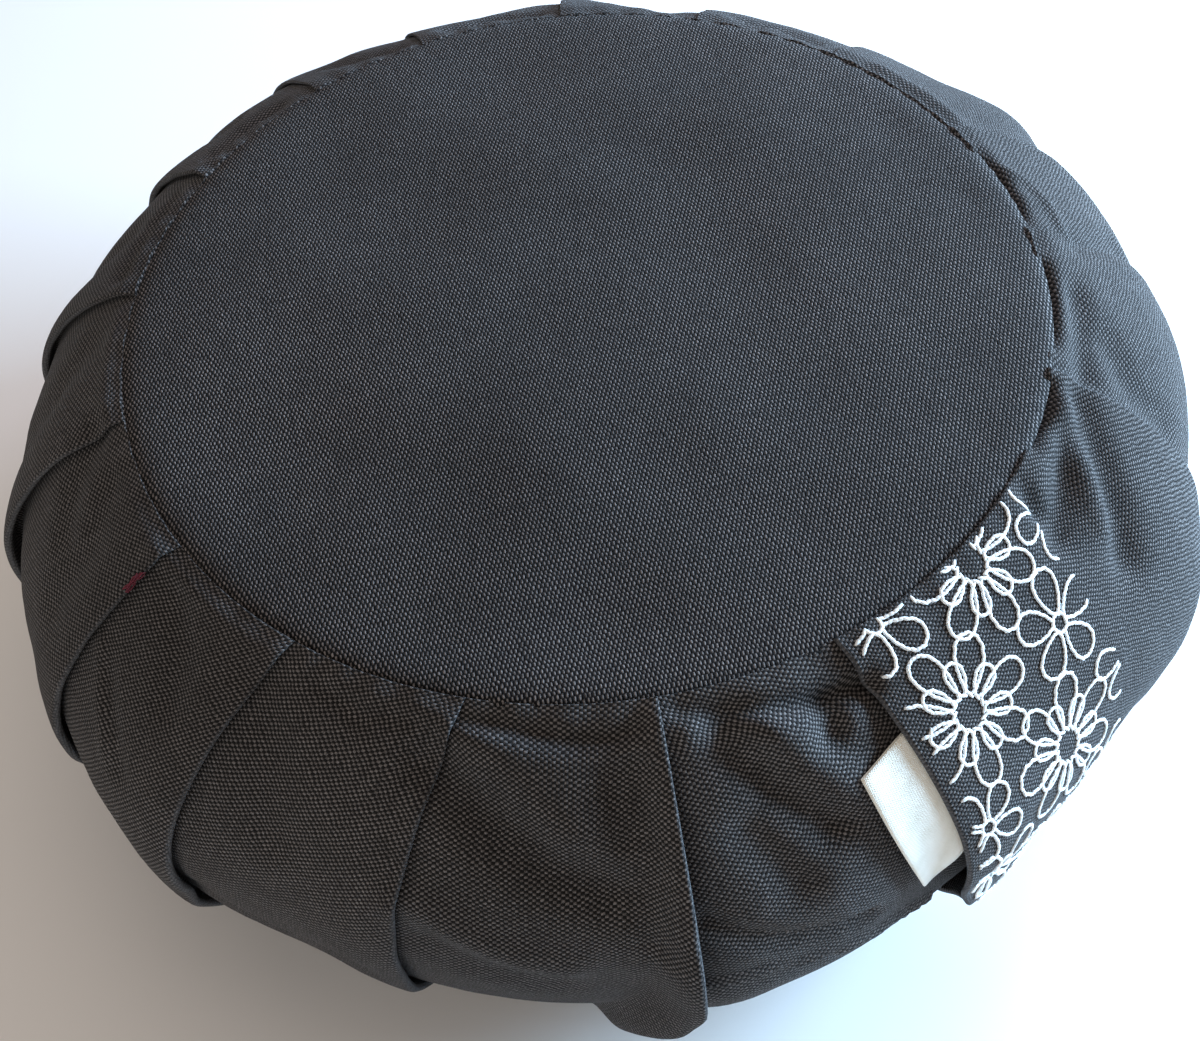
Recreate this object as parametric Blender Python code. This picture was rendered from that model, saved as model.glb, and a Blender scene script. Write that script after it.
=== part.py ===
"""A zafu: a round, filled floor cushion with a pleated side band.

Metres, +Z up. The cushion lies on z = 0 with its axis on the Z axis, and -Y is the side
that the embroidered panel is nearest to.

The side band is worked out ring by ring. A ring is a closed line round the cushion at one
share of the way up the band, 0 at the bottom seam and 1 at the top seam. On each ring the
pleats turn back under themselves, as knife pleats do, so every fold is a real undercut.
"""

import math
from collections import namedtuple

import bmesh
import bpy

# ---------------------------------------------------------------- driving sizes

OUTER_RADIUS = 0.196  # the band at its widest, between the pleats' edges
SEAM_RADIUS = 0.144  # the two round seams
TOP_SEAM_HEIGHT = 0.157
WIDEST_HEIGHT = 0.092
BOTTOM_SEAM_HEIGHT = 0.006
TOP_SLOPE = 27.0  # degrees below level at which the band leaves the top seam
BOTTOM_SLOPE = 8.0  # degrees above level at which it leaves the bottom one
TOP_PULL, SHOULDER_PULL = 0.024, 0.030  # how far each end holds its direction, above the widest place
BELLY_PULL, BOTTOM_PULL = 0.046, 0.026  # the same below it
TOP_CROWN = 0.004  # how far the top panel's middle stands above its seam
FLAT_RADIUS = 0.120  # the part of the bottom panel that rests on the floor

CLOTH = 0.0013  # one layer of canvas
FOLD = 0.0026  # a pleat's edge: two layers
GAP = 0.0003  # between neighbouring pieces
SEAM_DIP = 0.0022  # how far a round panel's edge turns down into its seam
RIM_SHARPNESS = 16  # how near to its rim the top panel turns down: higher is nearer
SEAM_LIP = 0.0008  # how far outside the seam line the band starts

LIFT_AT_SEAM = 0.0018  # a fold's edge above the band, where the seam holds it flat
RECESS_AT_SEAM = 0.0012  # the next panel's start below the band, at the seam
RECESS_AT_WIDEST = 0.0020
CLIMB = 0.6  # share of a panel's width over which it climbs out of that recess
TUCK_AT_SEAM = 0.0015  # depth of the slot under a fold, at the seam
BILLOW = 0.0010  # how far a panel swells between its folds

LABEL_WIDTH = 0.016  # what shows outside the panel's edge
LABEL_TUCK = 0.0045  # what is caught under it
LABEL_THICKNESS = 0.0010
LABEL_FROM, LABEL_TO = 0.585, 0.796  # shares of the way up the band
LABEL_SKEW = 0.040  # how much further down, as such a share, its free edge reaches
LABEL_REST = 0.0009  # how far its free edge stays off the band under it

# ---------------------------------------------------------------- tables

# One row for each edge that crosses the band, counter-clockwise from +X.
# seam_angle: where the edge meets the top seam, in degrees
# drift:      degrees it has turned by the widest place
# sweep:      further degrees it swings to below that
# lift:       how far the edge stands proud, at its proudest, in metres
# rise:       share of the panel's width over which it rises to that
# tuck:       depth of the slot under it there, in metres
# folded:     False where the band only passes under an edge of the embroidered panel
Edge = namedtuple("Edge", "seam_angle drift sweep lift rise tuck folded")
EDGES = (
    Edge(4.6, 1.2, 0.0, 0.0025, 0.5, 0.006, True),
    Edge(25.5, -4.0, 0.0, 0.0025, 0.5, 0.006, True),
    Edge(47.5, 1.5, 0.0, 0.0012, 0.5, 0.006, True),
    Edge(68.5, 1.0, 0.0, 0.0012, 0.5, 0.006, True),
    Edge(88.4, -0.5, 0.0, 0.0020, 0.5, 0.006, True),
    Edge(108.8, -1.5, 0.0, 0.0025, 0.5, 0.006, True),
    Edge(126.0, -2.0, 0.0, 0.0025, 0.5, 0.006, True),
    Edge(147.6, -4.0, 0.0, 0.0030, 0.5, 0.007, True),
    Edge(170.0, -3.0, -3.0, 0.0040, 0.5, 0.008, True),
    Edge(191.3, -2.2, -4.0, 0.0055, 0.5, 0.009, True),
    Edge(212.6, -2.9, -2.5, 0.0035, 0.5, 0.009, True),
    Edge(232.4, -4.6, -3.0, 0.0040, 0.5, 0.009, True),
    Edge(253.1, -4.4, -1.5, 0.0035, 0.5, 0.010, True),
    Edge(273.4, 0.2, -7.0, 0.0105, 0.16, 0.012, True),
    Edge(294.1, 3.4, 5.0, 0.0085, 0.5, 0.0, False),
    Edge(341.3, 0.3, 0.0, 0.0025, 0.5, 0.0, False),
)
PANEL_LEFT, PANEL_RIGHT = (edge for edge in EDGES if not edge.folded)

# How much further out the filling pushes the band at its widest, in metres, at some places
# on the way round. It is eased from each place to the next.
Place = namedtuple("Place", "angle reach")
GIRTH = (
    Place(0.0, 0.0030),
    Place(24.0, 0.0030),
    Place(31.0, 0.0090),
    Place(42.0, 0.0030),
    Place(56.0, -0.0030),
    Place(72.0, -0.0045),
    Place(91.0, 0.0090),
    Place(101.0, 0.0045),
    Place(126.0, 0.0070),
    Place(152.0, -0.0025),
    Place(177.0, -0.0020),
    Place(203.0, 0.0),
    Place(222.0, 0.0045),
    Place(243.0, -0.0020),
    Place(266.0, -0.0035),
    Place(276.0, 0.0025),
    Place(285.0, -0.0010),
    Place(303.0, 0.0),
    Place(320.0, 0.0020),
    Place(333.0, 0.0095),
    Place(343.0, 0.0025),
)

# How far below the band's own line it runs under the embroidered panel's two edges.
SINK_AT_SEAM = 0.0011
SINK_AT_WIDEST = {PANEL_LEFT: 0.0045, PANEL_RIGHT: 0.0030}
BACKING_AT_WIDEST = 0.0016  # and under that panel's middle
SINK_WIDTH = 0.3  # share of the panel's width from each edge to its middle depth
LEFT_FLARE, RIGHT_FLARE = 0.45, 0.16  # shares over which the panel itself lifts to its two edges

# Where the round panels bend, from the rim inwards. The filling under them bends there too.
TOP_RADII = (0.141, 0.136, 0.126, 0.100, 0.055)
BOTTOM_RADII = (0.137, 0.128, FLAT_RADIUS)

BAND_ROWS = 20
STATIONS = 7  # spans across a plain panel
WIDE_STATIONS = 15  # spans across the embroidered one
FOLD_POINTS = 4  # points that turn a fold back under itself
DISC_STEPS = 72
FILL_STEPS = 36

CANVAS_COLOUR = (0.045, 0.044, 0.050, 1.0)
LABEL_COLOUR = (0.72, 0.69, 0.60, 1.0)

# ---------------------------------------------------------------- the band's shape


def ease(x):
    """0 up to 0, 1 from 1 on, and smooth between."""
    x = min(1.0, max(0.0, x))
    return x * x * (3.0 - 2.0 * x)


def mix(a, b, share):
    return a + (b - a) * share


def curve(points, share):
    """A cubic curve's place, as a radius and a height, from its two ends and two handles."""
    left = 1.0 - share
    weights = (left**3, 3.0 * left**2 * share, 3.0 * left * share**2, share**3)
    return tuple(sum(w * point[i] for w, point in zip(weights, points)) for i in (0, 1))


def profile(up):
    """Radius and height of the plain band, at a share of the way up."""
    start = SEAM_RADIUS + SEAM_LIP
    widest = (OUTER_RADIUS, WIDEST_HEIGHT)
    if up >= 0.5:
        slope = math.radians(TOP_SLOPE)
        near_seam = (start + TOP_PULL * math.cos(slope), TOP_SEAM_HEIGHT - TOP_PULL * math.sin(slope))
        shoulder = (OUTER_RADIUS, WIDEST_HEIGHT + SHOULDER_PULL)
        return curve((widest, shoulder, near_seam, (start, TOP_SEAM_HEIGHT)), 2.0 * up - 1.0)
    slope = math.radians(BOTTOM_SLOPE)
    near_seam = (start + BOTTOM_PULL * math.cos(slope), BOTTOM_SEAM_HEIGHT + BOTTOM_PULL * math.sin(slope))
    belly = (OUTER_RADIUS, WIDEST_HEIGHT - BELLY_PULL)
    return curve(((start, BOTTOM_SEAM_HEIGHT), near_seam, belly, widest), 2.0 * up)


def outward(up):
    """The profile's outward direction, as a radial and an upward part."""
    step = 0.004
    r0, z0 = profile(max(0.0, up - step))
    r1, z1 = profile(min(1.0, up + step))
    length = math.hypot(r1 - r0, z1 - z0)
    return (z1 - z0) / length, (r0 - r1) / length


def band_point(degrees, up, offset):
    """The point this far outside the plain band."""
    radius, height = profile(up)
    across, upward = outward(up)
    offset += reach_at(degrees, up)
    radius += offset * across
    angle = math.radians(degrees)
    return (radius * math.cos(angle), radius * math.sin(angle), height + offset * upward)


def swell(up):
    """0 at both seams and 1 a little under the widest place, where the folds open most."""
    return math.sin(math.pi * up**0.87) ** 2


def edge_angle(edge, up):
    """Where an edge is at this height: it drifts down to the widest place, then swings."""
    down = min(1.0, 2.0 * (1.0 - up))
    below = max(0.0, 1.0 - 2.0 * up)
    return edge.seam_angle + edge.drift * math.sin(0.5 * math.pi * down) + edge.sweep * ease(2.0 * below)


def reach_at(degrees, up):
    """How far the filling pushes the band out at this place."""
    for first, second in zip(GIRTH, GIRTH[1:] + GIRTH[:1]):
        width = (second.angle - first.angle) % 360.0
        past = (degrees - first.angle) % 360.0
        if past < width:
            return swell(up) * mix(first.reach, second.reach, ease(past / width))


def edge_lift(edge, up):
    """Offset of a fold's own edge."""
    return mix(LIFT_AT_SEAM, edge.lift, swell(up))


def offset_before(edge, up):
    """Offset of the band where it reaches an edge from the clockwise side."""
    if edge.folded:
        return edge_lift(edge, up)
    return -mix(SINK_AT_SEAM, SINK_AT_WIDEST[edge], swell(up))


def offset_after(edge, up):
    """Offset of the band where it leaves that edge on the other side."""
    if edge.folded:
        return -mix(RECESS_AT_SEAM, RECESS_AT_WIDEST, swell(up))
    return -mix(SINK_AT_SEAM, SINK_AT_WIDEST[edge], swell(up))


def panel_offset(first, second, across, up):
    """Offset of the band between two neighbouring edges, at a share of the way across."""
    start = offset_after(first, up) * (1.0 - ease(across / CLIMB))
    end = offset_before(second, up) * ease((across - 1.0 + second.rise) / second.rise)
    level = BILLOW * swell(up)
    if first is PANEL_LEFT:
        level = -mix(SINK_AT_SEAM, BACKING_AT_WIDEST, swell(up))
        level *= ease(across / SINK_WIDTH) * ease((1.0 - across) / SINK_WIDTH)
        return start + end + level
    return start + end + level * math.sin(math.pi * across)


def stations(count):
    """Shares of the way across a panel, closer together at its two edges."""
    return [0.5 - 0.5 * math.cos(math.pi * i / count) for i in range(count + 1)]


def neighbours():
    """Each edge with the next one counter-clockwise."""
    return zip(EDGES, EDGES[1:] + EDGES[:1])


def panel_width(first, second, up):
    """The angle between two neighbouring edges, in degrees."""
    return (edge_angle(second, up) - edge_angle(first, up)) % 360.0


def across_panel(first, second, across, up):
    """The angle at a share of the way across a panel."""
    return edge_angle(first, up) + across * panel_width(first, second, up)


def fold_points(first, edge, up):
    """The turn of one pleat: round its edge, back under it, and to the next panel's start."""
    angle, lift = edge_angle(edge, up), edge_lift(edge, up)
    degrees_per_metre = math.degrees(1.0 / profile(up)[0])
    tuck = mix(TUCK_AT_SEAM, edge.tuck, swell(up)) * degrees_per_metre
    nose = 0.5 * FOLD * degrees_per_metre
    over_root = panel_offset(first, edge, 1.0 - tuck / panel_width(first, edge, up), up)
    low = offset_after(edge, up)
    return [
        (angle + nose, lift - 0.5 * FOLD),
        (angle, lift - FOLD),
        (angle - tuck, max(over_root - FOLD, low + GAP)),
        (angle - tuck, low),
    ]


def ring(up):
    """The band's whole closed line at one height, as angles and offsets."""
    line = []
    for first, second in neighbours():
        count = WIDE_STATIONS if first is PANEL_LEFT else STATIONS
        shares = stations(count)
        if not second.folded:
            shares = shares[:-1]
        for across in shares:
            angle = across_panel(first, second, across, up)
            line.append((angle, panel_offset(first, second, across, up)))
        if second.folded:
            line.extend(fold_points(first, second, up))
    return line


# ---------------------------------------------------------------- the round panels' shape


def top_height(radius):
    """The top panel's outer face: crowned, and turned down at its edge."""
    share = radius / SEAM_RADIUS
    return TOP_SEAM_HEIGHT + TOP_CROWN * (1.0 - share**2) - SEAM_DIP * share**RIM_SHARPNESS


def bottom_height(radius):
    """The bottom panel's outer face: flat where it rests, and turned up at its edge."""
    rise = BOTTOM_SEAM_HEIGHT + SEAM_DIP
    return rise * max(0.0, (radius - FLAT_RADIUS) / (SEAM_RADIUS - FLAT_RADIUS)) ** 2


# ---------------------------------------------------------------- building


def finished(name, bm, colour, roughness):
    """A new object from a bmesh, with its own material."""
    bmesh.ops.recalc_face_normals(bm, faces=bm.faces)
    mesh = bpy.data.meshes.new(name)
    bm.to_mesh(mesh)
    bm.free()
    mesh.shade_smooth()
    mesh.set_sharp_from_angle(angle=math.radians(50.0))
    material = bpy.data.materials.new(name)
    material.use_nodes = True
    shader = material.node_tree.nodes["Principled BSDF"]
    shader.inputs["Base Color"].default_value = colour
    shader.inputs["Roughness"].default_value = roughness
    shader.inputs["Metallic"].default_value = 0.0
    mesh.materials.append(material)
    obj = bpy.data.objects.new(name, mesh)
    bpy.context.scene.collection.objects.link(obj)
    return obj


def bridge(bm, lower, upper):
    """Quads between two rings with as many vertices as each other."""
    for i in range(len(lower)):
        j = (i + 1) % len(lower)
        bm.faces.new((lower[i], lower[j], upper[j], upper[i]))


def circle(bm, radius, height, steps):
    turns = [2.0 * math.pi * i / steps for i in range(steps)]
    return [bm.verts.new((radius * math.cos(a), radius * math.sin(a), height)) for a in turns]


def cap(bm, rim, radii, height):
    """Closes a ring towards the axis: a zip to a ring with fewer vertices, then the rest."""
    circles = [circle(bm, radius, height(radius), FILL_STEPS) for radius in radii]
    zip_rings(bm, rim, circles[0])
    for outer, inner in zip(circles, circles[1:]):
        bridge(bm, outer, inner)
    middle = bm.verts.new((0.0, 0.0, height(0.0)))
    inmost = circles[-1]
    for i, vert in enumerate(inmost):
        bm.faces.new((vert, inmost[(i + 1) % FILL_STEPS], middle))


def turn_of(vert):
    """The angle of a vertex about the axis, from 0 to a full turn."""
    return math.atan2(vert.co.y, vert.co.x) % (2.0 * math.pi)


def zip_rings(bm, many, few):
    """Triangles between two rings with different numbers of vertices, both counter-clockwise."""
    first = min(range(len(many)), key=lambda k: turn_of(many[k]))
    many = many[first:] + many[:first]
    turns_many = [turn_of(v) for v in many] + [turn_of(many[0]) + 2.0 * math.pi]
    turns_few = [turn_of(v) for v in few] + [turn_of(few[0]) + 2.0 * math.pi]
    i = j = 0
    while i < len(many) or j < len(few):
        a, b = many[i % len(many)], few[j % len(few)]
        if j == len(few) or (i < len(many) and turns_many[i + 1] <= turns_few[j + 1]):
            i += 1
            bm.faces.new((a, many[i % len(many)], b))
        else:
            j += 1
            bm.faces.new((a, few[j % len(few)], b))


def groove_ring(bm, up, height):
    """The bottom of a seam's groove: the band's own vertices, with each fold laid out flat."""
    fold_share = 0.03  # of a panel's width, which holds the fold's points
    turns = []
    for first, second in neighbours():
        count = WIDE_STATIONS if first is PANEL_LEFT else STATIONS
        shares = stations(count)
        if second.folded:
            shares = [(1.0 - fold_share) * share for share in shares]
            step = fold_share / (FOLD_POINTS + 1)
            shares += [1.0 - fold_share + step * (i + 1) for i in range(FOLD_POINTS)]
        else:
            shares = shares[:-1]
        turns += [math.radians(across_panel(first, second, share, up)) for share in shares]
    radius = SEAM_RADIUS + 0.5 * GAP
    return [bm.verts.new((radius * math.cos(a), radius * math.sin(a), height)) for a in turns]


def pleated_side():
    """The side band and the filled body inside it, as one solid."""

    def fill_top(radius):
        return top_height(radius) - CLOTH - GAP

    def fill_bottom(radius):
        return bottom_height(radius) + CLOTH + GAP

    bm = bmesh.new()
    rings = [groove_ring(bm, 0.0, fill_bottom(SEAM_RADIUS))]
    for row in range(BAND_ROWS):
        up = row / (BAND_ROWS - 1)
        rings.append([bm.verts.new(band_point(angle, up, offset)) for angle, offset in ring(up)])
    rings.append(groove_ring(bm, 1.0, fill_top(SEAM_RADIUS)))
    for lower, upper in zip(rings, rings[1:]):
        bridge(bm, lower, upper)
    cap(bm, rings[0], BOTTOM_RADII, fill_bottom)
    cap(bm, rings[-1], TOP_RADII, fill_top)
    return finished("pleated_side", bm, CANVAS_COLOUR, 0.9)


def round_panel(name, height, inward, radii):
    """A turned sheet of canvas: its section, out to the rim and back, spun about the axis."""
    bm = bmesh.new()
    rim = SEAM_RADIUS - 0.5 * GAP
    outer = [(r, height(r)) for r in (0.0, *reversed(radii), rim)]
    inner = [(r, z + inward * CLOTH) for r, z in reversed(outer)]
    section = [bm.verts.new((r, 0.0, z)) for r, z in outer + inner]
    edges = [bm.edges.new(pair) for pair in zip(section, section[1:])]
    bmesh.ops.spin(
        bm,
        geom=section + edges,
        cent=(0.0, 0.0, 0.0),
        axis=(0.0, 0.0, 1.0),
        angle=2.0 * math.pi,
        steps=DISC_STEPS,
        use_merge=True,
    )
    bmesh.ops.remove_doubles(bm, verts=bm.verts, dist=1e-6)
    return finished(name, bm, CANVAS_COLOUR, 0.9)


def panel_standoff(across, up):
    """How far the embroidered panel's inner face stands off the band behind it."""
    left = PANEL_LEFT.lift * (1.0 - ease(across / LEFT_FLARE))
    right = PANEL_RIGHT.lift * (1.0 - ease((1.0 - across) / RIGHT_FLARE))
    return GAP + swell(up) * (left + right)


def panel_inner(across, up):
    """Offset of that inner face from the plain band."""
    return panel_offset(PANEL_LEFT, PANEL_RIGHT, across, up) + panel_standoff(across, up)


def sheet_on_grid(name, columns, rows, place, thickness, colour):
    """A curved sheet: a grid laid out by place(column share, row share), thickened outwards."""
    bm = bmesh.new()
    bmesh.ops.create_grid(bm, x_segments=columns, y_segments=rows, size=0.5)
    for vert in bm.verts:
        vert.co = place(vert.co.x + 0.5, vert.co.y + 0.5)
    obj = finished(name, bm, colour, 0.9)
    thicken = obj.modifiers.new("thickness", "SOLIDIFY")
    thicken.thickness = thickness
    thicken.offset = 1.0
    return obj


def embroidered_panel():
    shares = stations(WIDE_STATIONS)

    def place(column, row):
        across = shares[round(column * WIDE_STATIONS)]
        return band_point(across_panel(PANEL_LEFT, PANEL_RIGHT, across, row), row, panel_inner(across, row))

    return sheet_on_grid("embroidered_panel", WIDE_STATIONS, BAND_ROWS - 1, place, CLOTH, CANVAS_COLOUR)


def band_beside_panel(angle, up):
    """Offset of the band on the clockwise side of the embroidered panel."""
    before = EDGES[EDGES.index(PANEL_LEFT) - 1]
    across = (angle - edge_angle(before, up)) / panel_width(before, PANEL_LEFT, up)
    return panel_offset(before, PANEL_LEFT, min(1.0, across), up)


def label_tab():
    """The loop label, caught under the embroidered panel's left edge and lying outside it."""

    def place(column, row):
        outside = mix(LABEL_WIDTH, -LABEL_TUCK, column)
        freedom = max(0.0, outside / LABEL_WIDTH)
        up = mix(LABEL_FROM - LABEL_SKEW * freedom, LABEL_TO, row)
        degrees_per_metre = math.degrees(1.0 / profile(up)[0])
        angle = edge_angle(PANEL_LEFT, up) - outside * degrees_per_metre
        caught = max(0.0, -outside) * degrees_per_metre / panel_width(PANEL_LEFT, PANEL_RIGHT, up)
        root = panel_inner(caught, up) - GAP - LABEL_THICKNESS
        free = band_beside_panel(angle, up) + LABEL_REST
        return band_point(angle, up, mix(root, free, ease(freedom)))

    return sheet_on_grid("label_tab", 6, 8, place, LABEL_THICKNESS, LABEL_COLOUR)


def main():
    for obj in list(bpy.data.objects):
        bpy.data.objects.remove(obj)
    whole = bpy.data.objects.new("zafu", None)
    bpy.context.scene.collection.objects.link(whole)
    pieces = [
        pleated_side(),
        round_panel("top_panel", top_height, -1.0, TOP_RADII),
        round_panel("bottom_panel", bottom_height, 1.0, BOTTOM_RADII),
        embroidered_panel(),
        label_tab(),
    ]
    for piece in pieces:
        piece.parent = whole


main()
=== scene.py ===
# %% [markdown]
# # Dressing a zafu
# A zafu is a round floor cushion: a top and a bottom circle of canvas, and between them a long
# side band laid in knife pleats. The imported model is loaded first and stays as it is. Every
# piece below is then made in the same place and at the same size, with a finer shape and a finish.

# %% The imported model
import math
from collections import namedtuple

import bmesh
import bpy
import numpy as np
from mathutils import Matrix, Vector, noise


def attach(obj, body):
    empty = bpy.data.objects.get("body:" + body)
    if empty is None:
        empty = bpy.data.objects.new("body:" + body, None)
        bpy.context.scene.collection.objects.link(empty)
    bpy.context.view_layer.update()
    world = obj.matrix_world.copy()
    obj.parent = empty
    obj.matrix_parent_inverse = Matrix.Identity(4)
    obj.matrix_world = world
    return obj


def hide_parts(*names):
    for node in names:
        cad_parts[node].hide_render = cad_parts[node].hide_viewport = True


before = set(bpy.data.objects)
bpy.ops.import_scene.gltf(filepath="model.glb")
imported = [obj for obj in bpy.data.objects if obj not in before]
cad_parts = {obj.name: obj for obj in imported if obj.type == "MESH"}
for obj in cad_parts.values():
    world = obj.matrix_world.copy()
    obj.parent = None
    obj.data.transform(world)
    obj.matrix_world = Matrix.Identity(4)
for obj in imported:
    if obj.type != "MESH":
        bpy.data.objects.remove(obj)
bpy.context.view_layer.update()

# %% [markdown]
# ## The plain form
# Before it is pleated, the side band is a turned shape: drawn in at both seams and widest a little
# above the middle. Any place on it has an angle round the axis and a share of the way up, 0 at the
# bottom seam and 1 at the top one. All the pieces are laid on this form, each at its own offset,
# because cloth pieces that share one form can't run into each other.

# %% Sizes of the plain form
OUTER_RADIUS = 0.196
SEAM_RADIUS = 0.144
TOP_SEAM_HEIGHT = 0.157
WIDEST_HEIGHT = 0.092
BOTTOM_SEAM_HEIGHT = 0.006
TOP_SLOPE, BOTTOM_SLOPE = math.radians(27.0), math.radians(8.0)
TOP_PULL, SHOULDER_PULL = 0.024, 0.030
BELLY_PULL, BOTTOM_PULL = 0.046, 0.026
SEAM_LIP = 0.0008
GAP = 0.0003
SWELL_LEAN = 0.87
SMALL_STEP = 0.004


def ease(x):
    """0 up to 0, 1 from 1 on, and smooth between."""
    x = np.clip(x, 0.0, 1.0)
    return x * x * (3.0 - 2.0 * x)


def mix(a, b, share):
    return a + (b - a) * share


def curve(points, share):
    """A cubic curve's radius and height, from its two ends and two handles."""
    left = 1.0 - share
    weights = (left**3, 3.0 * left**2 * share, 3.0 * left * share**2, share**3)
    return tuple(sum(w * point[i] for w, point in zip(weights, points)) for i in (0, 1))


def profile(up):
    """Radius and height of the plain band at a share of the way up."""
    start = SEAM_RADIUS + SEAM_LIP
    widest = (OUTER_RADIUS, WIDEST_HEIGHT)
    shoulder = (OUTER_RADIUS, WIDEST_HEIGHT + SHOULDER_PULL)
    top_drop, bottom_rise = TOP_PULL * math.sin(TOP_SLOPE), BOTTOM_PULL * math.sin(BOTTOM_SLOPE)
    near_top = (start + TOP_PULL * math.cos(TOP_SLOPE), TOP_SEAM_HEIGHT - top_drop)
    near_bottom = (start + BOTTOM_PULL * math.cos(BOTTOM_SLOPE), BOTTOM_SEAM_HEIGHT + bottom_rise)
    belly = (OUTER_RADIUS, WIDEST_HEIGHT - BELLY_PULL)
    upper = curve((widest, shoulder, near_top, (start, TOP_SEAM_HEIGHT)), 2.0 * up - 1.0)
    lower = curve(((start, BOTTOM_SEAM_HEIGHT), near_bottom, belly, widest), 2.0 * up)
    return tuple(np.where(np.asarray(up) >= 0.5, a, b) for a, b in zip(upper, lower))


def outward(up):
    """The plain form's outward direction, as a radial and an upward part."""
    r0, z0 = profile(np.clip(up - SMALL_STEP, 0.0, 1.0))
    r1, z1 = profile(np.clip(up + SMALL_STEP, 0.0, 1.0))
    length = np.hypot(r1 - r0, z1 - z0)
    return (z1 - z0) / length, (r0 - r1) / length


def swell(up):
    """0 at both seams and 1 a little under the widest place, where the folds open most."""
    return np.sin(math.pi * np.asarray(up) ** SWELL_LEAN) ** 2


ROW_SHARES = np.linspace(0.0, 1.0, 401)
row_steps = np.hypot(*(np.diff(side) for side in profile(ROW_SHARES)))
ROW_LENGTHS = np.concatenate([[0.0], np.cumsum(row_steps)])
BAND_DEPTH = float(ROW_LENGTHS[-1])


def cloth_height(up):
    """Length of cloth from the bottom seam to this share of the way up."""
    return np.interp(up, ROW_SHARES, ROW_LENGTHS)


def degrees_per_metre(up):
    """How far a metre of cloth would turn round the cushion at this height."""
    return np.degrees(1.0 / profile(up)[0])


print(f"the band is {1000 * BAND_DEPTH:.0f} mm of cloth from seam to seam")

# %% [markdown]
# ## Where the pleats lie
# Each row of this table is one edge that crosses the band. A pleater pins the folds at the top
# seam, and from there they drift and swing as the filling pushes, so a row says where an edge
# starts, how far it turns, and how far it stands off the cushion.

# %% The edges and the filling's swells
Edge = namedtuple("Edge", "seam_angle drift sweep lift rise tuck folded")
EDGES = (
    Edge(4.6, 1.2, 0.0, 0.0025, 0.5, 0.006, True),
    Edge(25.5, -4.0, 0.0, 0.0025, 0.5, 0.006, True),
    Edge(47.5, 1.5, 0.0, 0.0012, 0.5, 0.006, True),
    Edge(68.5, 1.0, 0.0, 0.0012, 0.5, 0.006, True),
    Edge(88.4, -0.5, 0.0, 0.0020, 0.5, 0.006, True),
    Edge(108.8, -1.5, 0.0, 0.0025, 0.5, 0.006, True),
    Edge(126.0, -2.0, 0.0, 0.0025, 0.5, 0.006, True),
    Edge(147.6, -4.0, 0.0, 0.0030, 0.5, 0.007, True),
    Edge(170.0, -3.0, -3.0, 0.0040, 0.5, 0.008, True),
    Edge(191.3, -2.2, -4.0, 0.0055, 0.5, 0.009, True),
    Edge(212.6, -2.9, -2.5, 0.0035, 0.5, 0.009, True),
    Edge(232.4, -4.6, -3.0, 0.0040, 0.5, 0.009, True),
    Edge(253.1, -4.4, -1.5, 0.0035, 0.5, 0.010, True),
    Edge(273.4, 0.2, -7.0, 0.0105, 0.16, 0.012, True),
    Edge(294.1, 3.4, 5.0, 0.0085, 0.5, 0.0, False),
    Edge(341.3, 0.3, 0.0, 0.0025, 0.5, 0.0, False),
)
PANEL = PANEL_LEFT, PANEL_RIGHT = [edge for edge in EDGES if not edge.folded]

Place = namedtuple("Place", "angle reach")
GIRTH = tuple(Place(*row) for row in (
    (0, 0.003), (24, 0.003), (31, 0.009), (42, 0.003), (56, -0.003), (72, -0.0045),
    (91, 0.009), (101, 0.0045), (126, 0.007), (152, -0.0025), (177, -0.002), (203, 0.0),
    (222, 0.0045), (243, -0.002), (266, -0.0035), (276, 0.0025), (285, -0.001), (303, 0.0),
    (320, 0.002), (333, 0.0095), (343, 0.0025),
))


def edge_angle(edge, up):
    """Where an edge is at this height: it drifts down to the widest place, then swings."""
    down = np.minimum(1.0, 2.0 * (1.0 - up))
    below = np.maximum(0.0, 1.0 - 2.0 * up)
    return edge.seam_angle + edge.drift * np.sin(0.5 * math.pi * down) + edge.sweep * ease(2.0 * below)


def neighbours():
    """Each edge with the next one counter-clockwise."""
    return list(zip(EDGES, EDGES[1:] + EDGES[:1]))


def panel_width(first, second, up):
    return (edge_angle(second, up) - edge_angle(first, up)) % 360.0


def across_panel(first, second, across, up):
    """The angle at a share of the way across a panel."""
    return edge_angle(first, up) + across * panel_width(first, second, up)


def reach_at(degrees, up):
    """How far the filling pushes the band out, eased from each place to the next."""
    turned = np.mod(degrees, 360.0)
    reach = np.zeros_like(turned)
    for first, second in zip(GIRTH, GIRTH[1:] + GIRTH[:1]):
        width = (second.angle - first.angle) % 360.0
        past = np.mod(turned - first.angle, 360.0)
        reach = np.where(past < width, mix(first.reach, second.reach, ease(past / width)), reach)
    return reach * swell(up)


# %% [markdown]
# ## Creases placed one by one
# Cloth that has been sat on is never even. Each crease here is a short line on the band, given
# by angles and shares of the way up, with the width and the depth of its trough. A depth below
# zero makes a roll that stands proud. The cross-section is a bell curve, which fades by itself.

# %% The creases
Crease = namedtuple("Crease", "line width depth")
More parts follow.
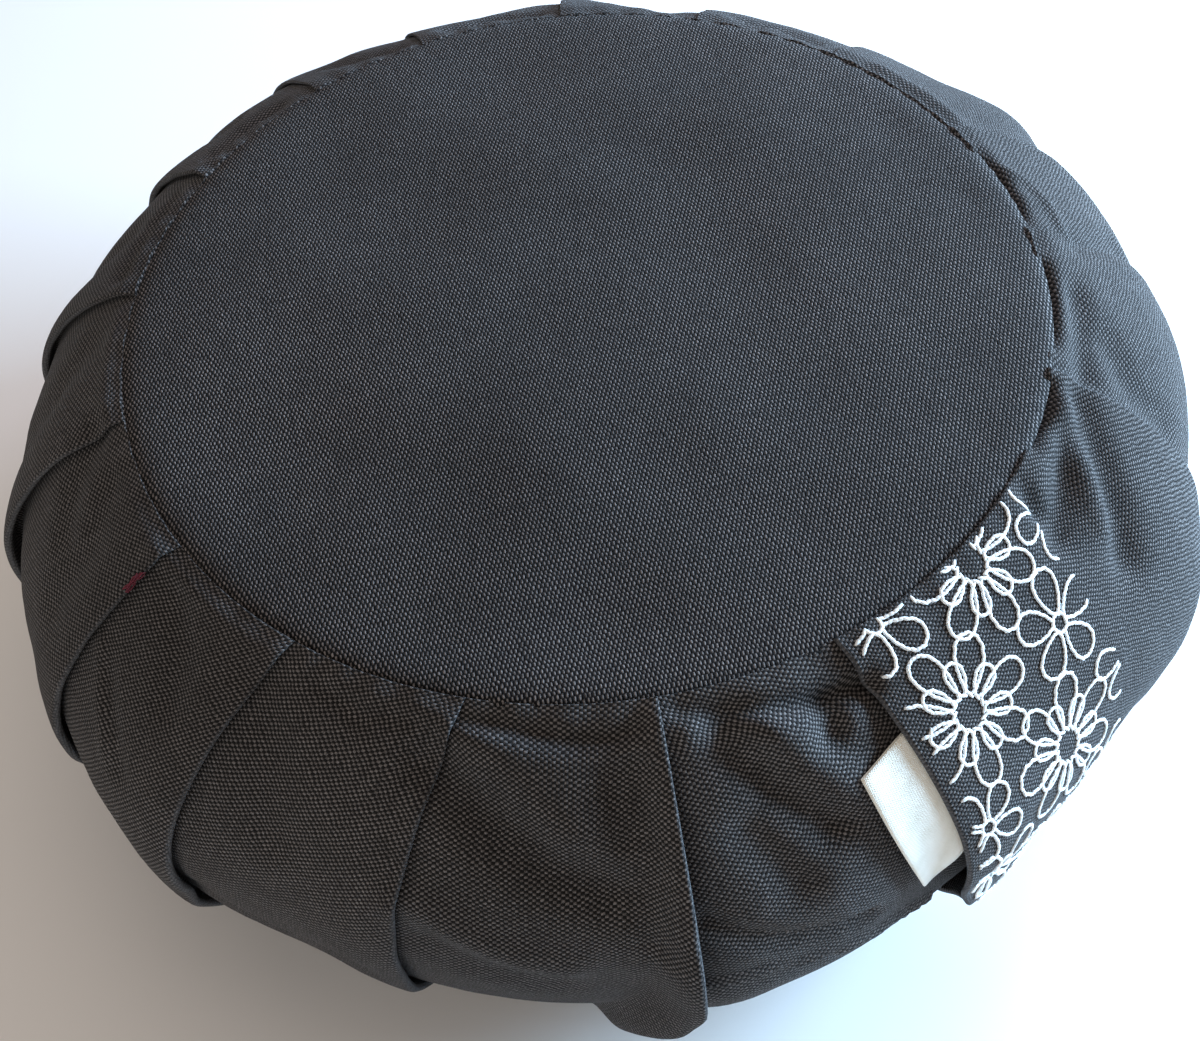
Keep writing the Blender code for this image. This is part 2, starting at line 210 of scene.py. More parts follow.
# each row: angle and share of the way up at the crease's bends, then its width and depth in mm
CREASE_ROWS = (
    # the panel between the folds at 253 and 273 degrees
    ([(253.4, 0.966), (258.4, 0.957), (264.5, 0.94), (268.9, 0.943), (271.2, 0.957)], 3, 2.1),
    ([(253.6, 0.935), (259, 0.92), (265, 0.895), (270.5, 0.915)], 6, -1.2),
    ([(251, 0.885), (254, 0.843), (258, 0.795), (262.5, 0.735), (267.5, 0.69)], 8.5, 3.6),
    ([(256, 0.9), (261, 0.855), (264.5, 0.8)], 9, -1.6),
    ([(267.9, 0.885), (268.5, 0.835), (268.7, 0.78)], 4.2, 1.4),
    ([(249.9, 0.65), (253, 0.615), (257.5, 0.572), (263, 0.535)], 6.5, -1.6),
    ([(251.5, 0.56), (256, 0.51), (262, 0.47)], 8, 1.6),
    ([(270.4, 0.89), (271, 0.8), (271.4, 0.7), (270.9, 0.6)], 5, 1.9),
    # the panel between the fold at 273 degrees and the embroidered panel
    ([(276, 0.975), (280, 0.958), (285, 0.935), (290.4, 0.917), (294.6, 0.905)], 3.2, 2.8),
    ([(277, 0.93), (284, 0.895), (292, 0.87)], 6, -1.6),
    ([(289.9, 0.895), (289.5, 0.86)], 4.5, 2.6),
    ([(279.2, 0.925), (281, 0.87), (283, 0.815), (286.9, 0.725)], 6.2, 3.6),
    ([(284, 0.89), (287, 0.82), (290.5, 0.76)], 7.5, -1.9),
    ([(279.8, 0.76), (281.4, 0.705), (283, 0.65)], 6, 2.1),
    ([(275.1, 0.625), (278, 0.58), (282, 0.535), (288.5, 0.505)], 3.8, 2),
    ([(274.7, 0.48), (279.5, 0.478), (285, 0.465), (291, 0.44), (296.5, 0.395)], 2.2, -1.4),
    ([(275, 0.44), (282, 0.43), (290, 0.395)], 6, 1.8),
    # the embroidered panel and its plain right part
    ([(323.8, 0.99), (323.3, 0.955), (322.9, 0.92)], 3.5, 2.6),
    ([(334.3, 0.935), (328.5, 0.905), (322.5, 0.87)], 5.5, 2.4),
    ([(339.2, 0.925), (333, 0.85), (326.5, 0.74)], 6, 2.4),
    ([(337.5, 0.96), (332.5, 0.9), (327, 0.81)], 4.5, -1.6),
    ([(304, 0.7), (312, 0.64), (318, 0.56)], 12, 1.2),
    ([(300, 0.45), (310, 0.4), (321, 0.42)], 9, 1.5),
    # the right-hand side
    ([(354.8, 0.925), (349, 0.918), (344.2, 0.905)], 5.5, 2.2),
    ([(350, 0.86), (346, 0.8), (345, 0.7)], 7, 1.6),
    ([(17, 0.968), (13.2, 0.915), (9, 0.897), (4.6, 0.895)], 2.2, -0.8),
    ([(4, 0.88), (5.5, 0.81), (9, 0.7)], 5, 1.4),
    ([(27.5, 0.975), (33, 0.972), (41, 0.978)], 4.5, -1.7),
    ([(52, 0.955), (57, 0.925), (63, 0.94)], 5, 1.8),
    # the back
    ([(72, 0.93), (77, 0.85), (81, 0.74)], 8, 2),
    ([(92, 0.96), (98, 0.935), (104, 0.95)], 4.5, 1.8),
    ([(96, 0.76), (101, 0.68), (103, 0.58)], 8, 1.8),
    ([(112, 0.955), (117, 0.9), (120, 0.8)], 7, 2),
    ([(131, 0.955), (137, 0.935), (143, 0.95)], 4.5, 1.8),
    ([(134, 0.8), (138, 0.69), (139, 0.56)], 8, 2),
    # the left-hand side
    ([(150, 0.975), (158, 0.972), (165, 0.975)], 3.2, -1.1),
    ([(152, 0.945), (159, 0.93), (166, 0.945)], 4.5, 1.4),
    ([(156, 0.84), (160, 0.74), (161, 0.6)], 8, 1.8),
    ([(174, 0.976), (182, 0.972), (188.5, 0.976)], 3.2, -1),
    ([(176, 0.89), (180, 0.78), (181, 0.64)], 7.5, 1.7),
    ([(190.5, 0.93), (194, 0.86), (199, 0.8)], 6, 1.5),
    ([(211, 0.972), (217, 0.968), (224, 0.972)], 3.4, -1.1),
    ([(199, 0.93), (203, 0.85), (204, 0.72)], 7, 1.4),
    ([(214.5, 0.74), (218, 0.69), (221.2, 0.64)], 4, 1.2),
    ([(212, 0.76), (215.5, 0.7), (218.5, 0.65)], 3, -0.8),
    ([(216.5, 0.93), (221, 0.88), (223, 0.8)], 6, 1.3),
    ([(231, 0.9), (235, 0.82), (237, 0.7)], 8, 1.4),
    ([(238, 0.95), (243, 0.93), (248, 0.95)], 4, 1),
    # where the belly turns under, low on the left and the back
    ([(229, 0.44), (236, 0.4), (244, 0.43)], 8, 1.6),
    ([(205, 0.42), (212, 0.38), (220, 0.42)], 8, 1.6),
    ([(20, 0.42), (28, 0.38), (38, 0.43)], 9, 1.8),
    ([(80, 0.4), (90, 0.36), (100, 0.41)], 9, 1.8),
    ([(130, 0.4), (140, 0.37), (150, 0.42)], 9, 1.8),
    ([(348, 0.42), (356, 0.38), (3, 0.43)], 8, 1.6),
)
CREASES = tuple(Crease(bends, wide / 1000.0, deep / 1000.0) for bends, wide, deep in CREASE_ROWS)

CREASE_SCALE = 1.45
PUCKER_PITCH, PUCKER_HEIGHT, PUCKER_REACH = 0.012, 0.00028, 0.011
PUCKER_WANDER, WANDER_SIZE, STRENGTH_SIZE = 0.6, 0.03, 0.05
ROLL_HEIGHT, ROLL_PLACE, ROLL_REACH = 0.0002, 0.006, 0.004
SEAM_TURN, SEAM_TURN_REACH, SEAM_TURN_SIZE = 0.0012, 0.0045, 0.045
SEAM_SQUEEZE, SQUEEZE_REACH = 0.65, 0.0042
PINCHED, PINCH_REACH = 0.1, 0.010
WAVE_HEIGHT, WAVE_SIZE = 0.0013, 0.038
RIPPLE_HEIGHT, RIPPLE_SIZE = 0.00022, 0.011
CALM_REACH = 0.02
GAP_REACH = 0.0034
Opening = namedtuple("Opening", "start end depth")
OPENINGS = (Opening(5.0, 21.5, 0.0068), Opening(344.5, 360.5, 0.0084), Opening(328.5, 340.5, 0.0096))


def bell(distance, reach):
    return np.exp(-((distance / reach) ** 2))


def round_point(degrees, radius, height):
    """A point from its angle, radius and height, as an array with x, y, z last."""
    turn = np.radians(degrees)
    return np.stack(np.broadcast_arrays(radius * np.cos(turn), radius * np.sin(turn), height), axis=-1)


def distance_to_line(points, line):
    """How far each point is from a broken line."""
    nearest = np.full(points.shape[:-1], np.inf)
    for a, b in zip(line, line[1:]):
        along = b - a
        share = np.clip(((points - a) @ along) / (along @ along), 0.0, 1.0)
        nearest = np.minimum(nearest, np.linalg.norm(points - a - share[..., None] * along, axis=-1))
    return nearest


def noise_at(points, size, seed):
    """Smooth noise from -1 to 1, as wide as size, at each point."""
    flat = points.reshape(-1, 3) / size + seed
    return np.array([noise.noise(point) for point in flat.tolist()]).reshape(points.shape[:-1])


def unevenness(degrees, up):
    """All that the cloth's own creases, puckers and waves add to a place's offset."""
    radius, height = profile(up)
    points = round_point(degrees, radius, height)
    added = np.zeros(points.shape[:-1])
    for crease in CREASES:
        bends = np.array(crease.line)
        line = round_point(bends[:, 0], *profile(bends[:, 1]))
        added -= CREASE_SCALE * crease.depth * bell(distance_to_line(points, line), crease.width)
    from_top = BAND_DEPTH - cloth_height(up)
    from_seam = np.minimum(from_top, cloth_height(up))
    added *= mix(PINCHED, 1.0, ease(from_seam / PINCH_REACH))
    beat = np.radians(degrees) * SEAM_RADIUS / PUCKER_PITCH
    pucker = np.sin(2.0 * math.pi * (beat + PUCKER_WANDER * noise_at(points, WANDER_SIZE, 5.0)))
    strength = 1.0 + noise_at(points, STRENGTH_SIZE, 9.0)
    added += PUCKER_HEIGHT * pucker * np.exp(-from_seam / PUCKER_REACH) * strength
    added += ROLL_HEIGHT * bell(from_top - ROLL_PLACE, ROLL_REACH)
    turned_in = SEAM_TURN * (0.75 + 0.5 * noise_at(points, SEAM_TURN_SIZE, 7.0))
    added -= turned_in * bell(from_top, SEAM_TURN_REACH)
    for opening in OPENINGS:
        share = (degrees - opening.start) % 360.0 / (opening.end - opening.start)
        open_here = np.where(share < 1.0, np.sin(math.pi * np.minimum(share, 1.0)), 0.0)
        added -= opening.depth * open_here * bell(from_top, GAP_REACH)
    away = ease(from_seam / CALM_REACH)
    added += away * WAVE_HEIGHT * noise_at(points, WAVE_SIZE, 2.0)
    added += away * RIPPLE_HEIGHT * noise_at(points, RIPPLE_SIZE, 3.0)
    return added


def place(degrees, up, offset, uneven=True):
    """Points this far outside the plain form, with the filling's swells and the creases."""
    degrees, up, offset = np.broadcast_arrays(degrees, up, offset)
    radius, height = profile(up)
    across, upward = outward(up)
    from_top = BAND_DEPTH - cloth_height(up)
    squeezed = 1.0 - SEAM_SQUEEZE * bell(from_top, SQUEEZE_REACH)
    total = offset * squeezed + reach_at(degrees, up)
    if uneven:
        total = total + unevenness(degrees, up)
    return round_point(degrees, radius + total * across, height + total * upward)


print(len(EDGES), "edges and", len(CREASES), "creases")

# %% [markdown]
# ## Helpers for cloth pieces
# A cloth piece starts as a flat grid, because a grid has the square faces that cloth bends well
# in. Its vertices are then moved to their places. Each face also keeps where it lay in the flat
# cloth, in metres, as a UV map: the weave is drawn from that map, so the threads follow every
# fold and stay the same size everywhere.

# %% Grid and mesh helpers
CLOTH_MAP = "cloth"
# vertex attribute holding the share of painted highlight on the fold noses
HIGHLIGHT_ATTRIBUTE = "painted_highlight"


def in_columns(values, up):
    """One array by row and column, from what each column has over all the rows."""
    return np.stack([np.broadcast_to(value, up.shape) for value in values], axis=1)


def lay_grid(points, across, along, painted_highlight=None, owner=None):
    """A grid laid out on an array of points, with its flat cloth coordinates.

    points, across and along go by row and column. Where owner gives a panel for each column,
    across holds one set of coordinates for each panel, and a face takes its own panel's.
    """
    rows, columns = points.shape[:2]
    bm = bmesh.new()
    bmesh.ops.create_grid(bm, x_segments=columns - 1, y_segments=rows - 1, size=0.5)
    steps = Vector((columns - 1, rows - 1))
    spots = [tuple(round((v.co[k] + 0.5) * steps[k]) for k in (0, 1)) for v in bm.verts]
    cloth = bm.loops.layers.uv.new(CLOTH_MAP)
    highlight_layer = bm.verts.layers.float.new(HIGHLIGHT_ATTRIBUTE)
    bm.verts.index_update()
    for face in bm.faces:
        left = min(spots[v.index][0] for v in face.verts)
        for loop in face.loops:
            column, row = spots[loop.vert.index]
            spot = (row, column) if owner is None else (owner[left], row, column)
            loop[cloth].uv = (across[spot], along[spot])
    for vert, (column, row) in zip(bm.verts, spots):
        vert.co = points[row, column]
        vert[highlight_layer] = 0.0 if painted_highlight is None else painted_highlight[row, column]
    return bm


def add_object(name, data):
    obj = bpy.data.objects.new(name, data)
    bpy.context.scene.collection.objects.link(obj)
    return obj


def mesh_object(name, bm, material):
    """A smooth object at the origin, from a bmesh."""
    mesh = bpy.data.meshes.new(name)
    bm.to_mesh(mesh)
    bm.free()
    mesh.shade_smooth()
    mesh.materials.append(material)
    return add_object(name, mesh)


def new_piece(name, bm, material):
    """A piece that rides on the cushion."""
    obj = mesh_object(name, bm, material)
    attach(obj, "root")
    return obj


def thicken(obj, thickness):
    """Gives a sheet its thickness, half to each side."""
    wall = obj.modifiers.new("thickness", "SOLIDIFY")
    wall.thickness = thickness
    wall.offset = 0.0


def triangles_of(obj):
    evaluated = obj.evaluated_get(bpy.context.evaluated_depsgraph_get())
    return sum(len(face.vertices) - 2 for face in evaluated.data.polygons)


# %% [markdown]
# ## Finishes
# The canvas is a coarse weave of dark cotton. Where a thread passes over, it shows as a light dot: partly
# the thread's own lighter tone, partly a painted highlight on its crown, with painted shade in the gaps
# between.
# The dots lie on a centred lattice: the product of two cosines draws exactly that. One cell of it is
# 1.30 x 2.75 mm on the round panels and 2.20 x 1.56 mm on the side. The same product gives the height
# of the threads, and noise stretched along the threads makes some of them thicker.

# %% Node helpers
class Finish:
    """A Principled material and short ways to add nodes to it."""

    def __init__(self, name, **values):
        self.material = bpy.data.materials.new(name)
        self.material.use_nodes = True
        self.tree = self.material.node_tree
        self.shader = self.tree.nodes["Principled BSDF"]
        for socket, value in values.items():
            self.shader.inputs[socket.replace("_", " ")].default_value = value

    def node(self, kind, inputs=(), **settings):
        made = self.tree.nodes.new(kind)
        for name, value in settings.items():
            setattr(made, name, value)
        for socket, value in dict(inputs).items():
            self.put(made.inputs[socket], value)
        return made

    def put(self, socket, value):
        if isinstance(value, bpy.types.NodeSocket):
            self.tree.links.new(value, socket)
        else:
            socket.default_value = value

    def math(self, operation, *values, clamp=False):
        settings = dict(operation=operation, use_clamp=clamp)
        return self.node("ShaderNodeMath", enumerate(values), **settings).outputs[0]

    def times(self, *values, clamp=False):
        return self.math("MULTIPLY", *values, clamp=clamp)

    def wave(self, shape, along, length):
        """A SINE or a COSINE that repeats after this many metres."""
        return self.math(shape, self.times(along, 2.0 * math.pi / length))

    def noise(self, where, scale, detail=2.0):
        inputs = {"Vector": where, "Scale": scale, "Detail": detail}
        return self.node("ShaderNodeTexNoise", inputs).outputs["Fac"]

    def stretched(self, where, sizes):
        """Coordinates counted in steps of this many metres."""
        scale = tuple(1.0 / size for size in sizes)
        return self.node("ShaderNodeMapping", {"Vector": where, "Scale": scale}).outputs[0]

    def between(self, value, low, high, to_low=0.0, to_high=1.0):
        """A value eased from one range to another."""
        inputs = {"Value": value, "From Min": low, "From Max": high, "To Min": to_low, "To Max": to_high}
        return self.node("ShaderNodeMapRange", inputs, interpolation_type="SMOOTHSTEP").outputs["Result"]

    def blend(self, share, first, second):
        """A colour between two others."""
        return self.node("ShaderNodeMix", {0: share, 6: first, 7: second}, data_type="RGBA").outputs[2]

    def surface(self, colour, roughness=None, height=None, depth=0.0002, strength=1.0):
        self.put(self.shader.inputs["Base Color"], colour)
        if roughness is not None:
            self.put(self.shader.inputs["Roughness"], roughness)
        if height is not None:
            inputs = {"Height": height, "Distance": depth, "Strength": strength}
            self.put(self.shader.inputs["Normal"], self.node("ShaderNodeBump", inputs).outputs[0])
        return self.material


# %% Canvas
Weave = namedtuple("Weave", "wide high dots_from dots_to dark light")
# dark is the canvas with painted shade in the thread gaps; light is the thread tone with a painted highlight
# on the crowns
BAND_WEAVE = Weave(0.00220, 0.00156, -0.25, 0.65, (0.0075, 0.0070, 0.0070, 1.0), (0.134, 0.125, 0.124, 1.0))
ROUND_WEAVE = Weave(0.00130, 0.00275, -0.12, 0.72, (0.0018, 0.0017, 0.0018, 1.0), (0.164, 0.149, 0.146, 1.0))
# colour of the pale, bluish painted highlight on the fold noses
PAINTED_HIGHLIGHT_COLOUR = (0.080, 0.083, 0.090, 1.0)
DRIFT = 0.0010
SLUB_WIDTH, SLUB_LENGTH_ALONG, SLUB_LENGTH_DOWN = 0.0007, 0.014, 0.016
BUMP_DEPTH, BUMP_STRENGTH = 0.00022, 0.9
DRIFT_SCALE, FLECK_SCALE, HIGHLIGHT_BREAKUP_SCALE, CAST_SCALE = 260.0, 1500.0, 700.0, 9.0


def canvas(name, weave):
    """Canvas whose light dots lie at the corners and the middle of the weave's cell: thread tone with a
    painted highlight on the crowns.
    """
    sheen = dict(Sheen_Weight=0.05, Sheen_Roughness=0.45, Sheen_Tint=(0.9, 0.95, 1.0, 1.0))
    finish = Finish(name, Specular_IOR_Level=0.15, **sheen)
    flat = finish.node("ShaderNodeUVMap", uv_map=CLOTH_MAP).outputs[0]
    body = finish.node("ShaderNodeTexCoord").outputs["Object"]
    drift = finish.times(finish.math("SUBTRACT", finish.noise(flat, DRIFT_SCALE, 1.0), 0.5), DRIFT)
    shifted = finish.node("ShaderNodeVectorMath", {0: flat, 1: drift}, operation="ADD").outputs[0]
    parts = finish.node("ShaderNodeSeparateXYZ", {0: shifted})
    weft = finish.wave("COSINE", parts.outputs[0], weave.wide)
    warp = finish.wave("COSINE", parts.outputs[1], weave.high)
    lattice = finish.times(weft, warp)
    slub_along = finish.noise(finish.stretched(flat, (SLUB_LENGTH_ALONG, SLUB_WIDTH, 1.0)), 1.0)
    slub_down = finish.noise(finish.stretched(flat, (SLUB_WIDTH, SLUB_LENGTH_DOWN, 1.0)), 1.0)
    slubs = finish.math("ADD", slub_along, slub_down)
    dots = finish.between(lattice, weave.dots_from, weave.dots_to)
    fleck = finish.between(finish.noise(flat, FLECK_SCALE, 1.0), 0.30, 0.75, 0.45, 1.35)
    dots = finish.times(dots, fleck, clamp=True)
    cast = finish.between(finish.noise(body, CAST_SCALE, 3.0), 0.30, 0.70, 0.86, 1.12)
    thread_cast = finish.between(slubs, 0.75, 1.25, 0.78, 1.22)
    # the dots paint the crowns' highlight and the gaps' shade into the colour, on top of the thread tone
    colour = finish.blend(dots, weave.dark, weave.light)
    # the fold noses get a pale, bluish painted highlight, broken up by noise
    highlight_share = finish.node("ShaderNodeAttribute", attribute_name=HIGHLIGHT_ATTRIBUTE).outputs["Fac"]
    highlight_breakup = finish.between(finish.noise(flat, HIGHLIGHT_BREAKUP_SCALE, 2.0), 0.35, 0.65, 0.55, 1.0)
    colour = finish.blend(finish.times(highlight_share, highlight_breakup), colour, PAINTED_HIGHLIGHT_COLOUR)
    shade = finish.times(cast, thread_cast)
    colour = finish.node("ShaderNodeVectorMath", {0: colour, 3: shade}, operation="SCALE").outputs[0]
    bulge = finish.math("POWER", finish.math("ABSOLUTE", lattice), 0.6)
    height = finish.math("MULTIPLY_ADD", slubs, 0.35, bulge)
    roughness = finish.between(dots, 0.0, 1.0, 0.92, 0.78)
    return finish.surface(colour, roughness, height, BUMP_DEPTH, BUMP_STRENGTH)


band_canvas = canvas("band_canvas", BAND_WEAVE)
round_canvas = canvas("round_canvas", ROUND_WEAVE)

# %% [markdown]
# ## The side band
# One long strip of canvas, folded back under itself at each pleat, with the filling behind it.
# It is drawn ring by ring: across each panel, round the fold's rounded nose, back under it to its
# root, and out again as the next panel. That makes every pleat a real fold with a shadow under it.

# %% The band's folds
FOLD_AT_SEAM, FOLD_AT_WIDEST = 0.0016, 0.0030
LIFT_AT_SEAM, TUCK_AT_SEAM = 0.0017, 0.0015
RECESS_AT_SEAM, RECESS_AT_WIDEST = 0.0008, 0.0010
PRESSED, PRESSED_TO = 0.45, 130.0
CLIMB = 0.6
BILLOW = 0.0010
SINK_AT_SEAM, SINK_WIDTH = 0.0021, 0.3
SINK_AT_WIDEST = {PANEL_LEFT: 0.0045, PANEL_RIGHT: 0.0030}
BACKING_AT_WIDEST = 0.0022
STATIONS, HIDDEN_STATIONS = 40, 24
NOSE_STEPS = 8
BAND_ROWS, ROW_CROWDING = 108, 0.55
LAST_ROWS = (0.0135, 0.0095, 0.0060, 0.0028, 0.0)


def at_seam(size, edge):
    """A fold's size at the seams: pleats on the window side are pressed flatter there."""
    return PRESSED * size if edge.seam_angle < PRESSED_TO else size


def edge_lift(edge, up):
    return mix(at_seam(LIFT_AT_SEAM, edge), edge.lift, swell(up))


def offset_before(edge, up, sink_at_seam=SINK_AT_SEAM):
    """Offset of the band where it reaches an edge from the clockwise side."""
    if edge.folded:
        return edge_lift(edge, up)
    return -mix(sink_at_seam, SINK_AT_WIDEST[edge], swell(up))


def offset_after(edge, up, sink_at_seam=SINK_AT_SEAM):
    """Offset of the band where it leaves that edge on the other side."""
    if edge.folded:
        return -mix(at_seam(RECESS_AT_SEAM, edge), RECESS_AT_WIDEST, swell(up))
    return -mix(sink_at_seam, SINK_AT_WIDEST[edge], swell(up))


def panel_offset(first, second, across, up, sink_at_seam=SINK_AT_SEAM, backing=BACKING_AT_WIDEST):
    """Offset of the band between two neighbouring edges, at a share of the way across."""
    start = offset_after(first, up, sink_at_seam) * (1.0 - ease(across / CLIMB))
    end = offset_before(second, up, sink_at_seam) * ease((across - 1.0 + second.rise) / second.rise)
    level = BILLOW * swell(up)
    if first is PANEL_LEFT:
        level = -mix(sink_at_seam, backing, swell(up))
        level = level * ease(across / SINK_WIDTH) * ease((1.0 - across) / SINK_WIDTH)
        return start + end + level
    return start + end + level * np.sin(math.pi * across)


def stations(count):
    """Shares of the way across a panel, closer together at its two edges."""
    return [0.5 - 0.5 * math.cos(math.pi * i / count) for i in range(count + 1)]


def fold_turn(first, edge, up):
    """The turn of one pleat, as angles, offsets and painted highlight: nose, underside, root, run out."""
    angle, lift = edge_angle(edge, up), edge_lift(edge, up)
    per_metre = degrees_per_metre(up)
    tuck = mix(TUCK_AT_SEAM, edge.tuck, swell(up)) * per_metre
    fold = mix(at_seam(FOLD_AT_SEAM, edge), FOLD_AT_WIDEST, swell(up))
    radius = 0.5 * fold
    turn = []
    for step in range(1, NOSE_STEPS + 1):
        theta = math.pi * (0.5 - step / NOSE_STEPS)
        out, rise = radius * math.cos(theta), radius * math.sin(theta)
        # the nose's outermost points carry the most painted highlight
        turn.append((angle + out * per_metre, lift - radius + rise, math.cos(theta) ** 2))
    over_root = panel_offset(first, edge, 1.0 - tuck / panel_width(first, edge, up), up)
    low = offset_after(edge, up)
    halfway = np.maximum(mix(lift, over_root, 0.5) - fold, low + GAP)
    turn.append((angle - 0.5 * tuck, halfway, 0.0))
    turn.append((angle - tuck, np.maximum(over_root - fold, low + GAP), 0.0))
    return turn + [(angle - tuck, low, 0.0), (angle - 0.5 * tuck, low, 0.0)]


def band_columns(up):
    """Angle, offset, panel and painted highlight of each column of the band, over all its rows."""
    columns = []
    for number, (first, second) in enumerate(neighbours()):
        shares = stations(HIDDEN_STATIONS if first is PANEL_LEFT else STATIONS)
        if not second.folded:
            shares = shares[:-1]
        for across in shares:
            angle = across_panel(first, second, across, up)
            columns.append((angle, panel_offset(first, second, across, up), number, 0.0))
        if second.folded:
            turn = fold_turn(first, second, up)
            owners = [number] * (NOSE_STEPS + 2) + [number + 1] * 2
            columns += [(angle, offset, owner, painted_highlight) for (angle, offset, painted_highlight), owner in zip(turn, owners)]
    return columns


even_rows = np.linspace(0.0, 1.0, BAND_ROWS)
up_rows = mix(even_rows, 0.5 - 0.5 * np.cos(math.pi * even_rows), ROW_CROWDING)
up_rows[-len(LAST_ROWS) :] = 1.0 - np.array(LAST_ROWS)
columns = band_columns(up_rows)
angles, offsets, owners, band_highlight = zip(*columns)
band_owner = [owner % len(EDGES) for owner in owners]
print(len(columns), "columns by", BAND_ROWS, "rows")

# %% Laying the band
PANEL_STEP = 0.1371
THREAD_TILT, TILT_HEIGHT, TILT_BEAT, TILT_START = 0.25, 0.12, 2.3, 12
# the painted highlight fades towards the seams, where the folds lie flatter
HIGHLIGHT_AT_SEAM, FULL_HIGHLIGHT_FROM = 0.2, 0.25
highlight_fade = mix(HIGHLIGHT_AT_SEAM, 1.0, ease(swell(up_rows) / FULL_HIGHLIGHT_FROM))
band_points = place(in_columns(angles, up_rows), up_rows[:, None], in_columns(offsets, up_rows))
closed = np.concatenate([band_points, band_points[:, :1]], axis=1)
run = np.linalg.norm(np.diff(closed, axis=1), axis=2)
along_ring = np.concatenate([np.zeros((BAND_ROWS, 1)), np.cumsum(run, axis=1)], axis=1)
ring_length = along_ring[:, -1:]
cloth_up = np.repeat(cloth_height(up_rows)[:, None], closed.shape[1], axis=1)
cloth_across, cloth_along = [], []
for number in range(len(EDGES)):
    own = [i for i, owner in enumerate(band_owner) if owner == number]
    if own[-1] - own[0] > len(columns) // 2:
        own = [i for i in own if i < len(columns) // 2]
    middle = own[len(own) // 2]
    away = along_ring - along_ring[:, middle : middle + 1]
    away = np.where(away > 0.5 * ring_length, away - ring_length, away)
    tilt = THREAD_TILT * math.sin(TILT_BEAT * (number - TILT_START))
    cloth_across.append(away + tilt * (cloth_up - TILT_HEIGHT) + PANEL_STEP * number)
    cloth_along.append(cloth_up - tilt * away)
highlight_rows = highlight_fade[:, None] * np.append(band_highlight, band_highlight[0])[None, :]
bm = lay_grid(closed, np.array(cloth_across), np.array(cloth_along), highlight_rows, band_owner)
bmesh.ops.remove_doubles(bm, verts=bm.verts, dist=1e-6)

# %% [markdown]
# ## Closing the band
# The filled form is closed under the round panels: each rim is drawn into its seam's groove, then
# inwards, and shut with one flat face, where it can't be seen.

# %% The two ends
CLOTH = 0.0013
FLAT_RADIUS = 0.120
GROOVE_INWARD = 0.0045
HIDDEN_STEP = 0.006
RIM_MARGIN = 0.02
TOP_GROOVE, TOP_END = TOP_SEAM_HEIGHT - 0.0085, TOP_SEAM_HEIGHT - 0.0088
BOTTOM_GROOVE, BOTTOM_END = BOTTOM_SEAM_HEIGHT + 0.0045, CLOTH + 0.0012


def close_end(bm, rim_height, groove_height, inner_height):
    """Draws an open rim into the groove, in below the round panel, and shuts it."""
    cloth = bm.loops.layers.uv[CLOTH_MAP]
    depth = 0.0
    rim = [e for e in bm.edges if e.is_boundary and abs(e.verts[0].co.z - rim_height) < RIM_MARGIN]
    for radius, height in ((SEAM_RADIUS - GROOVE_INWARD, groove_height), (FLAT_RADIUS, inner_height)):
        made = bmesh.ops.extrude_edge_only(bm, edges=rim)["geom"]
        rim = [item for item in made if isinstance(item, bmesh.types.BMEdge)]
        depth += HIDDEN_STEP
        for vert in {v for e in rim for v in e.verts}:
            turn = math.atan2(vert.co.y, vert.co.x)
            vert.co = (radius * math.cos(turn), radius * math.sin(turn), height)
            for loop in vert.link_loops:
                loop[cloth].uv.y += depth
    bmesh.ops.edgeloop_fill(bm, edges=rim)


close_end(bm, TOP_SEAM_HEIGHT, TOP_GROOVE, TOP_END)
close_end(bm, BOTTOM_SEAM_HEIGHT, BOTTOM_GROOVE, BOTTOM_END)
bmesh.ops.recalc_face_normals(bm, faces=bm.faces)
side_band = new_piece("side_band", bm, band_canvas)
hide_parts("pleated_side")
print("side band:", triangles_of(side_band), "triangles")

# %% [markdown]
# ## The round panels
# Each is a circle of canvas, a little crowned, with its edge turned down into the seam. A section
# spun about the axis makes the circle; then its vertices are moved for the soft dents of a
# cushion that has been sat on.

# %% Top and bottom
SPIN_STEPS = 288
RIM_RADIUS = SEAM_RADIUS + 0.0012
TOP_CROWN, SEAM_DIP, RIM_SHARPNESS = 0.004, 0.0009, 60
ROUND_CLOTH = 0.0011
THREAD_TURN = math.radians(8.0)
SLACK, SLACK_SIZE = 0.0007, 0.035
SCALLOP_DEPTH, SCALLOP_PITCH, SCALLOP_REACH = 0.00035, 0.0085, 0.004
SCALLOP_WANDER, WANDER_SCALE = 2.0, 30.0
RIM_FADE = 10
Dent = namedtuple("Dent", "x y size depth")
DENTS = tuple(Dent(*row) for row in (
    (0.128, 0.029, 0.008, 0.001), (0.11, 0.066, 0.009, 0.0009), (0.112, -0.071, 0.01, 0.0009),
    (-0.004, -0.122, 0.02, 0.0009), (0.06, -0.1, 0.018, 0.0008), (-0.098, -0.05, 0.03, 0.0014),
    (-0.06, 0.055, 0.032, 0.0013), (0.03, 0.02, 0.04, 0.0016), (0.0, -0.06, 0.03, -0.0012),
    (0.075, 0.075, 0.025, -0.001), (-0.02, 0.115, 0.022, 0.001),
))


def top_height(radius):
    """The top panel's outer face: crowned, and turned down at its edge."""
    share = radius / SEAM_RADIUS
    return TOP_SEAM_HEIGHT + TOP_CROWN * (1.0 - share**2) - SEAM_DIP * share**RIM_SHARPNESS


